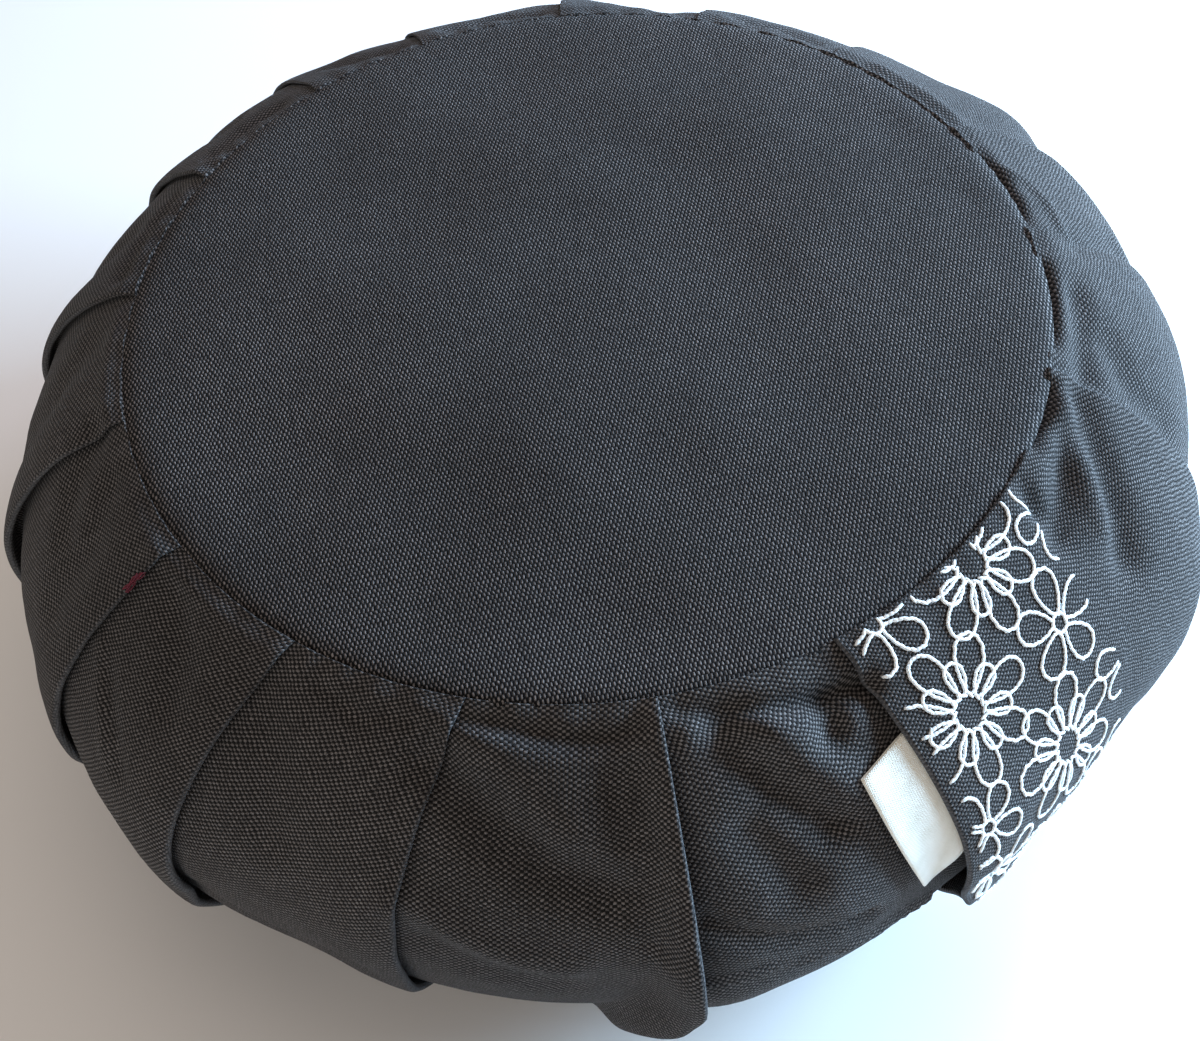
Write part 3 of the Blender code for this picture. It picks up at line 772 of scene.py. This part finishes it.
def bottom_height(radius):
    """The bottom panel's outer face: flat where it rests, and turned up at its edge."""
    rise = BOTTOM_SEAM_HEIGHT + SEAM_DIP
    return rise * np.maximum(0.0, (radius - FLAT_RADIUS) / (SEAM_RADIUS - FLAT_RADIUS)) ** 2


def spun_panel(rings, crowding, height):
    """A round sheet: a section of rings, closer together near the rim, spun about the axis."""
    bm = bmesh.new()
    radii = [RIM_RADIUS * (i / rings) ** crowding for i in range(rings + 1)]
    section = [bm.verts.new((r, 0.0, float(height(r)))) for r in radii]
    edges = [bm.edges.new(pair) for pair in zip(section, section[1:])]
    about = dict(cent=(0.0, 0.0, 0.0), axis=(0.0, 0.0, 1.0), angle=2.0 * math.pi)
    bmesh.ops.spin(bm, geom=section + edges, steps=SPIN_STEPS, use_merge=True, **about)
    bmesh.ops.remove_doubles(bm, verts=bm.verts, dist=1e-6)
    bmesh.ops.recalc_face_normals(bm, faces=bm.faces)
    return bm


def map_round_cloth(bm, turn):
    """The flat cloth coordinates of a round panel: its plan, turned to the thread."""
    cloth = bm.loops.layers.uv.new(CLOTH_MAP)
    bm.verts.layers.float.new(HIGHLIGHT_ATTRIBUTE)
    c, s = math.cos(turn), math.sin(turn)
    for face in bm.faces:
        for loop in face.loops:
            x, y = loop.vert.co.x, loop.vert.co.y
            loop[cloth].uv = (c * x + s * y, c * y - s * x)


bm = spun_panel(48, 0.85, top_height)
for vert in bm.verts:
    x, y = vert.co.x, vert.co.y
    radius = math.hypot(x, y)
    inside = 1.0 - (radius / SEAM_RADIUS) ** RIM_FADE
    for dent in DENTS:
        vert.co.z -= inside * dent.depth * math.exp(-((x - dent.x) ** 2 + (y - dent.y) ** 2) / dent.size**2)
    vert.co.z += inside * SLACK * noise.noise(Vector((x, y, 0.0)) / SLACK_SIZE)
    pull = math.exp(-(RIM_RADIUS - radius) / SCALLOP_REACH)
    beat = math.atan2(y, x) * SEAM_RADIUS * 2.0 * math.pi / SCALLOP_PITCH
    wander = SCALLOP_WANDER * noise.noise((x * WANDER_SCALE, y * WANDER_SCALE, 0.0))
    scallop = math.sin(beat + wander)
    vert.co.z -= pull * SCALLOP_DEPTH * (1.0 + scallop) + 0.5 * CLOTH
map_round_cloth(bm, THREAD_TURN)
top_cloth = new_piece("top_cloth", bm, round_canvas)
thicken(top_cloth, ROUND_CLOTH)

bm = spun_panel(16, 0.8, lambda r: bottom_height(r) + 0.5 * CLOTH)
bmesh.ops.reverse_faces(bm, faces=[f for f in bm.faces if f.normal.z > 0.0])
map_round_cloth(bm, -THREAD_TURN)
bottom_cloth = new_piece("bottom_cloth", bm, round_canvas)
thicken(bottom_cloth, ROUND_CLOTH)

for cloth, node in ((top_cloth, "top_panel"), (bottom_cloth, "bottom_panel")):
    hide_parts(node)
    print(cloth.name, triangles_of(cloth), "triangles")

# %% [markdown]
# ## The embroidered panel
# A wider panel of the same canvas lies over the side. Both its long edges are turned under, so
# they show a rounded fold and a second layer beneath. The grid's columns run from the end of one
# turned edge, round its nose, across the face and round the other nose.

# %% Sheet over the side
LEFT_FLARE, RIGHT_FLARE = 0.45, 0.16
CAD_SINK, CAD_BACKING = 0.0011, 0.0016
PANEL_CLOTH = 0.0009
NOSE = 0.5 * (PANEL_CLOTH + GAP)
HEM, HEM_SHARES = 0.009, (1.0, 0.66, 0.33, 0.0)
PANEL_STATIONS, PANEL_ROWS = 84, 112
GRAIN_SCALE, LEAN_ACROSS, LEAN_ALONG = 1.16, 0.09, 0.06
NOSE_HIGHLIGHT = 0.8


def panel_outer(across, up):
    """Offset of the panel's outer face from the plain form."""
    left = PANEL_LEFT.lift * (1.0 - ease(across / LEFT_FLARE))
    right = PANEL_RIGHT.lift * (1.0 - ease((1.0 - across) / RIGHT_FLARE))
    behind = panel_offset(*PANEL, across, up, CAD_SINK, CAD_BACKING)
    return behind + GAP + CLOTH + swell(up) * (left + right)


def turned_edge(edge, side, up):
    """Angle, offset and cloth length past the fold, from the hem's end to the nose.

    side is -1 at the left edge and 1 at the right one.
    """
    per_metre = degrees_per_metre(up)
    width = panel_width(*PANEL, up) / per_metre
    start = edge_angle(edge, up)
    strip = []
    for share in HEM_SHARES:
        across = HEM * share / width
        face = panel_outer(across if side < 0 else 1.0 - across, up) - 0.5 * PANEL_CLOTH
        strip.append((start - side * HEM * share * per_metre, face - 2.0 * NOSE, -HEM * share))
    for step in (1, 2, 3, 4):
        theta = math.pi * (-0.5 + step / 5)
        angle = start + side * NOSE * math.cos(theta) * per_metre
        strip.append((angle, face - NOSE + NOSE * math.sin(theta), NOSE * math.pi * step / 5))
    return strip


def panel_section(up):
    """Angle, offset and cloth coordinate of each column, with both turned edges."""
    width = panel_width(*PANEL, up) * np.radians(profile(up)[0])
    turn = NOSE * math.pi
    section = [(angle, offset, cloth - turn) for angle, offset, cloth in turned_edge(PANEL_LEFT, -1.0, up)]
    for across in stations(PANEL_STATIONS):
        angle = across_panel(*PANEL, across, up)
        section.append((angle, panel_outer(across, up) - 0.5 * PANEL_CLOTH, across * width))
    for angle, offset, cloth in reversed(turned_edge(PANEL_RIGHT, 1.0, up)):
        section.append((angle, offset, width + turn - cloth))
    return section


panel_up = np.linspace(0.0, 1.0, PANEL_ROWS)
angles, offsets, lengths = (in_columns(values, panel_up) for values in zip(*panel_section(panel_up)))
panel_points = place(angles, panel_up[:, None], offsets)
cloth_up = np.repeat(cloth_height(panel_up)[:, None], lengths.shape[1], axis=1)
panel_highlight = np.zeros(lengths.shape)
# the outermost columns of each nose get the pale painted highlight
panel_highlight[:, 5:8] = panel_highlight[:, -8:-5] = NOSE_HIGHLIGHT
grain_across = GRAIN_SCALE * lengths - LEAN_ACROSS * cloth_up
grain_along = GRAIN_SCALE * cloth_up - LEAN_ALONG * lengths
bm = lay_grid(panel_points, grain_across, grain_along, panel_highlight)
bmesh.ops.recalc_face_normals(bm, faces=bm.faces)
embroidered_cloth = new_piece("embroidered_cloth", bm, band_canvas)
thicken(embroidered_cloth, PANEL_CLOTH)
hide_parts("embroidered_panel")
panel_flat_width = round(float(np.max(lengths.max(axis=1) - lengths.min(axis=1))), 3)
print("embroidered panel:", triangles_of(embroidered_cloth), "triangles,", panel_flat_width, "m wide")

# %% [markdown]
# ## Embroidery
# White outline embroidery covers the left part of that panel: flowers drawn in single lines
# and cut off at the strip's borders. The motifs here are plain rosettes and blossoms with
# round petals. Each is a formula that gives lines in flat cloth, and short raised stitches are laid
# along every line, because a real line of stitches is a row of small rounded threads.

# %% Motifs in flat cloth
STRIP_LEFT, STRIP_LOW, STRIP_HIGH = 0.003, 0.003, BAND_DEPTH - 0.0015
STRIP_RIGHT_UPS, STRIP_RIGHT_ANGLES = (0.0, 0.5, 0.85, 1.0), (318.0, 318.0, 320.0, 323.6)
PETAL_FILL, PETAL_BELT, INNER_RING = 1.95, 0.62, 0.66
Motif = namedtuple("Motif", "petals x y radius turn")


def petal(length, width, steps=14):
    """A closed petal from the origin along +x, rounded at its tip."""
    loop = []
    for i in range(steps + 1):
        share = 2.0 * math.pi * i / steps
        reach = 0.5 * length * (1.0 - math.cos(share))
        loop.append((reach, 0.5 * width * math.sin(share) * (0.45 + 0.55 * reach / length)))
    return loop


def turned_line(line, turn, x, y):
    c, s = math.cos(turn), math.sin(turn)
    return [(x + c * a - s * b, y + s * a + c * b) for a, b in line]


def ring_line(radius, steps=16):
    turns = [2.0 * math.pi * i / steps for i in range(steps + 1)]
    return [(radius * math.cos(turn), radius * math.sin(turn)) for turn in turns]


def flower(motif, core_share=0.17):
    """Petals round a ring, each petal starting at the ring's edge."""
    core = core_share * motif.radius
    lines = [turned_line(ring_line(core), 0.0, motif.x, motif.y)]
    for i in range(motif.petals):
        turn = motif.turn + 2.0 * math.pi * i / motif.petals
        width = PETAL_FILL * math.pi * motif.radius * PETAL_BELT / motif.petals
        loop = [(core + a, b) for a, b in petal(motif.radius - core, width)]
        lines.append(turned_line(loop, turn, motif.x, motif.y))
    return lines


ROSETTES = tuple(Motif(7, *row) for row in (
    (0.045, 0.189, 0.0215, 0.2), (0.0185, 0.158, 0.022, 0.05), (0.044, 0.1255, 0.022, 0.3),
    (0.0115, 0.095, 0.0215, 0.15), (0.06, 0.061, 0.0215, 0.0), (0.0165, 0.031, 0.0215, 0.25),
))
BLOSSOMS = tuple(Motif(5, *row) for row in (
    (0.01, 0.1925, 0.015, 0.45), (0.058, 0.1585, 0.0155, 0.1), (0.0075, 0.1265, 0.013, 0.75),
    (0.076, 0.133, 0.014, 0.3), (0.062, 0.0955, 0.016, 0.9), (0.029, 0.065, 0.0155, 0.3),
    (0.05, 0.026, 0.016, 0.6), (0.036, 0.093, 0.0095, 0.2), (0.076, 0.182, 0.013, 0.5),
    (0.001, 0.062, 0.011, 0.1),
))


def rosette(motif):
    """A flower with a second, shorter ring of petals between the first ones."""
    turn = motif.turn + math.pi / motif.petals
    inner = motif._replace(radius=INNER_RING * motif.radius, turn=turn)
    return flower(motif, 0.23)[1:] + flower(inner, 0.35)[1:]


design = [line for motif in ROSETTES for line in rosette(motif)]
design += [line for motif in BLOSSOMS for line in flower(motif)]
print(len(design), "lines of embroidery")

# %% Stitches along the lines
STITCH_STEP = 0.0015
STITCH_SIZE = (0.0033, 0.00120, 0.00080)
STITCH_YAW, STITCH_RISE = 0.11, 0.00018
STITCHES_AT_ONCE = 60
PROBE = 0.0006


def spaced_points(line, step):
    """Points at even steps along a line, with their directions."""
    points = np.array(line)
    lengths = np.linalg.norm(np.diff(points, axis=0), axis=1)
    reached = np.concatenate([[0.0], np.cumsum(lengths)])
    stops = np.linspace(0.0, reached[-1], max(2, round(reached[-1] / step)), endpoint=False)

    def at(stops):
        return np.stack([np.interp(stops, reached, points[:, k]) for k in (0, 1)], axis=1)

    return at(stops), at(stops + 0.3 * step) - at(stops - 0.3 * step)


def on_panel(x, y):
    """A point of the panel's outer face: x from its left edge and y up from the bottom seam."""
    up = np.interp(y, ROW_LENGTHS, ROW_SHARES)
    width = np.radians(panel_width(*PANEL, up)) * profile(up)[0]
    across = np.clip(x / width, 0.0, 1.0)
    return place(across_panel(*PANEL, across, up), up, panel_outer(across, up))


spots, ways = (np.concatenate(both) for both in zip(*(spaced_points(line, STITCH_STEP) for line in design)))
ups = np.interp(spots[:, 1], ROW_LENGTHS, ROW_SHARES)
border_angle = np.interp(ups, STRIP_RIGHT_UPS, STRIP_RIGHT_ANGLES)
border = np.radians(border_angle - edge_angle(PANEL_LEFT, ups)) * profile(ups)[0]
kept = (spots[:, 0] > STRIP_LEFT) & (spots[:, 0] < border)
kept &= (spots[:, 1] > STRIP_LOW) & (spots[:, 1] < STRIP_HIGH)
spots, ways = spots[kept], ways[kept]
ways /= np.maximum(np.linalg.norm(ways, axis=1, keepdims=True), 1e-9)
centres = on_panel(*spots.T)
ahead = on_panel(*(spots + PROBE * ways).T) - centres
beside = on_panel(*(spots + PROBE * ways[:, ::-1] * (-1.0, 1.0)).T) - centres


def stitch_frame(i):
    """Where stitch i lies: its own axes, its size and its place."""
    along = Vector(ahead[i]).normalized()
    up_from = along.cross(Vector(beside[i])).normalized()
    if up_from.xy.dot(Vector(centres[i]).xy) < 0.0:
        up_from.negate()
    side = up_from.cross(along).normalized()
    yaw = STITCH_YAW * (1 if i % 2 else -1)
    c, s = math.cos(yaw), math.sin(yaw)
    axes = Matrix((along * c + side * s, side * c - along * s, up_from)).transposed().to_4x4()
    middle = Vector(centres[i]) + STITCH_RISE * up_from
    return Matrix.Translation(middle) @ axes @ Matrix.Diagonal((*STITCH_SIZE, 1.0))


bm = bmesh.new()
batch_mesh = bpy.data.meshes.new("batch")
for first in range(0, len(centres), STITCHES_AT_ONCE):
    batch = bmesh.new()
    for i in range(first, min(first + STITCHES_AT_ONCE, len(centres))):
        bmesh.ops.create_uvsphere(batch, u_segments=6, v_segments=4, radius=0.5, matrix=stitch_frame(i))
    batch.to_mesh(batch_mesh)
    batch.free()
    bm.from_mesh(batch_mesh)
bpy.data.meshes.remove(batch_mesh)
print(len(centres), "stitches")

thread = Finish("white_thread", Roughness=0.55, Sheen_Weight=0.3, Sheen_Roughness=0.4)
body = thread.node("ShaderNodeTexCoord").outputs["Object"]
tone = thread.between(thread.noise(body, 900.0, 2.0), 0.3, 0.7)
white = thread.blend(tone, (0.62, 0.66, 0.68, 1.0), (0.86, 0.88, 0.88, 1.0))
thread_material = thread.surface(white, None, thread.noise(body, 3800.0, 1.0), 0.0001, 0.6)
new_piece("embroidery", bm, thread_material)

# %% [markdown]
# ## The loop label
# A short cream tape folded in two, its ends caught under the panel's left edge. Its section is a
# narrow U on its side: down the outer layer, round the fold, and back under. It stays bare.

# %% Label
TAPE, TAPE_CUT = 0.00035, 0.042
LABEL_WIDTH, LABEL_TUCK, LABEL_FOLD = 0.016, 0.0045, 0.0005
LABEL_UPS, LABEL_SKEWS = (0.585, 0.812), (0.058, 0.030)
LABEL_WIDTHS, LABEL_BOW = (0.0125, 0.0175), 0.0022
LABEL_REST, LABEL_BULGE = 0.0022, 0.0006
FOLD_STEP, FOLD_LENGTH = 0.0003, 0.0013
LABEL_ROWS, LABEL_COLUMNS = 26, 14


def beside_panel(degrees, up):
    """Offset of the band on the clockwise side of the embroidered panel."""
    before = EDGES[EDGES.index(PANEL_LEFT) - 1]
    across = (degrees - edge_angle(before, up)) / panel_width(before, PANEL_LEFT, up)
    return panel_offset(before, PANEL_LEFT, np.minimum(1.0, across), up)


def label_layer(outside, row, above):
    """Angle, share of the way up and offset on one of the tape's layers."""
    freedom = np.maximum(0.0, outside / LABEL_WIDTH)
    up = mix(*LABEL_UPS, row) - mix(*LABEL_SKEWS, row) * freedom
    if outside > 0.0:
        outside = outside * mix(*LABEL_WIDTHS, row) / LABEL_WIDTH
        outside = outside + LABEL_BOW * freedom * np.sin(math.pi * row)
    per_metre = degrees_per_metre(up)
    angle = edge_angle(PANEL_LEFT, up) - outside * per_metre
    caught = np.maximum(0.0, -outside) * per_metre / panel_width(*PANEL, up)
    root = panel_outer(caught, up) - 2.0 * PANEL_CLOTH - 2.0 * GAP - 3.0 * TAPE
    free = beside_panel(np.minimum(angle, edge_angle(PANEL_LEFT, up)), up) + LABEL_REST
    lift = mix(root, free, ease(freedom)) + LABEL_BULGE * freedom * np.sin(math.pi * row) ** 2
    return angle, up, lift + above


label_rows = np.linspace(0.0, 1.0, LABEL_ROWS)
label_columns = [(x, 2.0 * LABEL_FOLD, x) for x in np.linspace(-LABEL_TUCK, LABEL_WIDTH, LABEL_COLUMNS)]
for step in (1, 2, 3):
    theta = math.pi * (0.5 - step / 4)
    outside, above = LABEL_WIDTH + LABEL_FOLD * math.cos(theta), LABEL_FOLD * (1.0 + math.sin(theta))
    label_columns.append((outside, above, LABEL_WIDTH + FOLD_STEP * step))
for x in np.linspace(LABEL_WIDTH, -LABEL_TUCK, LABEL_COLUMNS):
    label_columns.append((x, 0.0, 2.0 * LABEL_WIDTH + FOLD_LENGTH - x))
layers = zip(*(label_layer(outside, label_rows, above) for outside, above, _ in label_columns))
label_points = place(*(in_columns(values, label_rows) for values in layers), uneven=False)
label_across = np.tile([length for *_, length in label_columns], (LABEL_ROWS, 1))
label_along = np.repeat(TAPE_CUT * label_rows[:, None], len(label_columns), axis=1)
bm = lay_grid(label_points, label_across, label_along)
bmesh.ops.recalc_face_normals(bm, faces=bm.faces)

tape = Finish("cream_tape", Roughness=0.7, Sheen_Weight=0.15, Sheen_Roughness=0.4)
flat = tape.node("ShaderNodeUVMap", uv_map=CLOTH_MAP).outputs[0]
parts = tape.node("ShaderNodeSeparateXYZ", {0: flat})
ribs = tape.wave("SINE", parts.outputs[1], 0.0006)
picks = tape.wave("SINE", parts.outputs[0], 0.0009)
soil = tape.between(tape.noise(flat, 140.0, 3.0), 0.35, 0.75)
cream = tape.blend(soil, (0.80, 0.80, 0.74, 1.0), (0.70, 0.69, 0.61, 1.0))
label_material = tape.surface(cream, None, tape.times(ribs, picks), 0.00008, 0.8)
label_loop = new_piece("label_loop", bm, label_material)
thicken(label_loop, TAPE)
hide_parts("label_tab")

# %% [markdown]
# ## A loose thread
# A short tuft of red thread ends sticks out from under one fold on the left. It is a handful of
# fine curved strands, and curves with a round bevel make those best.

# %% Red thread ends
RED_FOLD, RED_UP, RED_REACH = EDGES[10], 0.895, 0.026
STRANDS, STRAND_POINTS, STRAND_RADIUS = 7, 6, 0.00022
STRAND_WAVE, STRAND_SHORTER, STRAND_SHIFT = 0.0007, 0.06, 0.004
STRAND_SUNK, STRAND_APART, STRAND_SWAY = 0.0008, 0.0003, 0.16
PAST_FOLD = 0.25
red = Finish("red_thread", Roughness=0.85)
red_material = red.surface((0.105, 0.008, 0.022, 1.0))
strands = bpy.data.curves.new("strands", "CURVE")
strands.dimensions = "3D"
strands.bevel_depth = STRAND_RADIUS
strands.bevel_resolution = 1
strands.use_fill_caps = True
for i in range(STRANDS):
    wave = STRAND_WAVE * math.sin(2.1 * i)
    reach = np.linspace(-RED_REACH, RED_REACH, STRAND_POINTS)
    ups = RED_UP + reach * (1.0 - STRAND_SHORTER * i) + STRAND_SHIFT * math.sin(3.0 * i)
    sway = STRAND_SWAY * np.sin(np.arange(STRAND_POINTS) * 1.3 + i)
    degrees = edge_angle(RED_FOLD, ups) + PAST_FOLD + sway
    line = place(degrees, ups, edge_lift(RED_FOLD, ups) - STRAND_SUNK + STRAND_APART * i + wave)
    spline = strands.splines.new("POLY")
    spline.points.add(len(line) - 1)
    for point, co in zip(spline.points, line):
        point.co = (*co, 1.0)
shaped = bpy.data.objects.new("strands", strands)
bm = bmesh.new()
bm.from_mesh(bpy.data.meshes.new_from_object(shaped))
bpy.data.objects.remove(shaped)
new_piece("red_thread_ends", bm, red_material)

# %% [markdown]
# ## Floor, light and camera
# A pale floor and a warm room. Most of the light is cool and comes low from the right, as from a
# window. A soft ceiling and a wide fill from the front keep the shaded folds readable. The camera
# stands where the photograph was taken: above the front edge, turned a little.

# %% Floor and light
bm = bmesh.new()
bmesh.ops.create_grid(bm, x_segments=1, y_segments=1, size=6.0)
pale = Finish("pale_floor", Roughness=0.9)
floor = mesh_object("floor", bm, pale.surface((0.86, 0.86, 0.86, 1.0)))


def area_light(name, place_at, aim, size, power, colour):
    data = bpy.data.lights.new(name, "AREA")
    data.shape = "RECTANGLE"
    data.size, data.size_y = size
    data.energy = power
    data.color = colour
    lamp = add_object(name, data)
    lamp.location = place_at
    lamp.visible_camera = False
    lamp.rotation_mode = "QUATERNION"
    lamp.rotation_quaternion = (Vector(aim) - Vector(place_at)).to_track_quat("-Z", "Y")


area_light("window", (1.20, 0.20, 0.37), (0.05, 0.0, 0.10), (0.70, 0.45), 70.0, (0.50, 0.75, 1.0))
area_light("high_window", (0.62, 0.62, 0.62), (0.10, 0.10, 0.15), (0.35, 0.35), 5.5, (0.76, 0.80, 1.0))
area_light("ceiling", (0.10, 0.50, 2.20), (0.0, 0.0, 0.0), (2.0, 2.0), 12.0, (1.0, 0.87, 0.76))
area_light("front_fill", (-1.10, -1.80, 0.60), (0.0, 0.0, 0.08), (2.0, 1.0), 17.0, (1.0, 0.96, 0.90))

world = bpy.data.worlds.new("pale_room")
world.use_nodes = True
background = world.node_tree.nodes["Background"]
background.inputs["Color"].default_value = (1.0, 0.86, 0.76, 1.0)
background.inputs["Strength"].default_value = 0.26
bpy.context.scene.world = world
bpy.context.scene.view_settings.view_transform = "Standard"

# %% Camera
CAMERA_PLACE = Vector((-0.0009, -0.3714, 0.5451))
CAMERA_RIGHT = Vector((0.9946, -0.0839, -0.0618))
CAMERA_UP = Vector((0.1042, 0.8007, 0.5899))
CAMERA_BACK = Vector((0.0, -0.5932, 0.8051))
LENS, SENSOR = 51.0, 36.0
lens = bpy.data.cameras.new("camera")
lens.lens = LENS
lens.sensor_width = SENSOR
lens.clip_start, lens.clip_end = 0.01, 20.0
camera = add_object("camera", lens)
turn = Matrix((CAMERA_RIGHT, CAMERA_UP, CAMERA_BACK)).transposed().to_4x4()
camera.matrix_world = Matrix.Translation(CAMERA_PLACE) @ turn
bpy.context.scene.camera = camera
